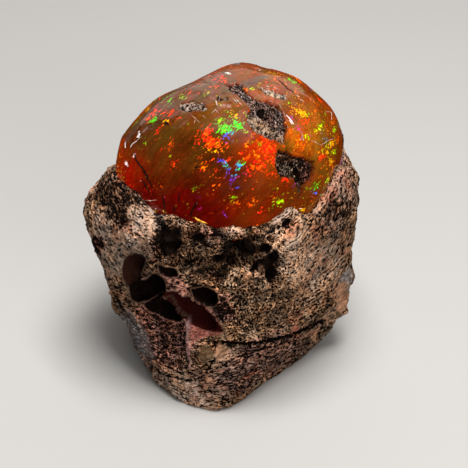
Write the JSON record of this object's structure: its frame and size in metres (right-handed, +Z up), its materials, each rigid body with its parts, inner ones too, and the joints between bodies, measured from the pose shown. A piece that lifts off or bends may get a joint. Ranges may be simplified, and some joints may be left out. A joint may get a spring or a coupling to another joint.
{
  "type": "rough fire opal in matrix",
  "caption": "Clear orange fire opal nodule with play of colour and crusts of matrix, seated in a broken, pitted block of rhyolite that stands on a flat cut.",
  "frame": {"origin": "middle of the specimen's box, on the surface that the block stands on", "axes": "+Z up, -Y towards the display side, +X to the right of someone who looks at that side"},
  "size_m": [0.0442, 0.0416, 0.0497],
  "materials": {
    "opal": "natural wet polish, clear orange to brown-red, with flecks of every colour",
    "rhyolite": "rough broken volcanic rock, tan grain with black and dark red pits",
    "rhyolite_crust": "grainy grey and tan remnant of the rock"
  },
  "bodies": {
    "root": {"fire_opal": "opal", "rhyolite_matrix": "rhyolite", "matrix_crust_upper": "rhyolite_crust", "matrix_crust_lower": "rhyolite_crust", "matrix_crust_left": "rhyolite_crust", "matrix_crust_small": "rhyolite_crust", "matrix_crust_top": "rhyolite_crust"}
  },
  "joints": []
}
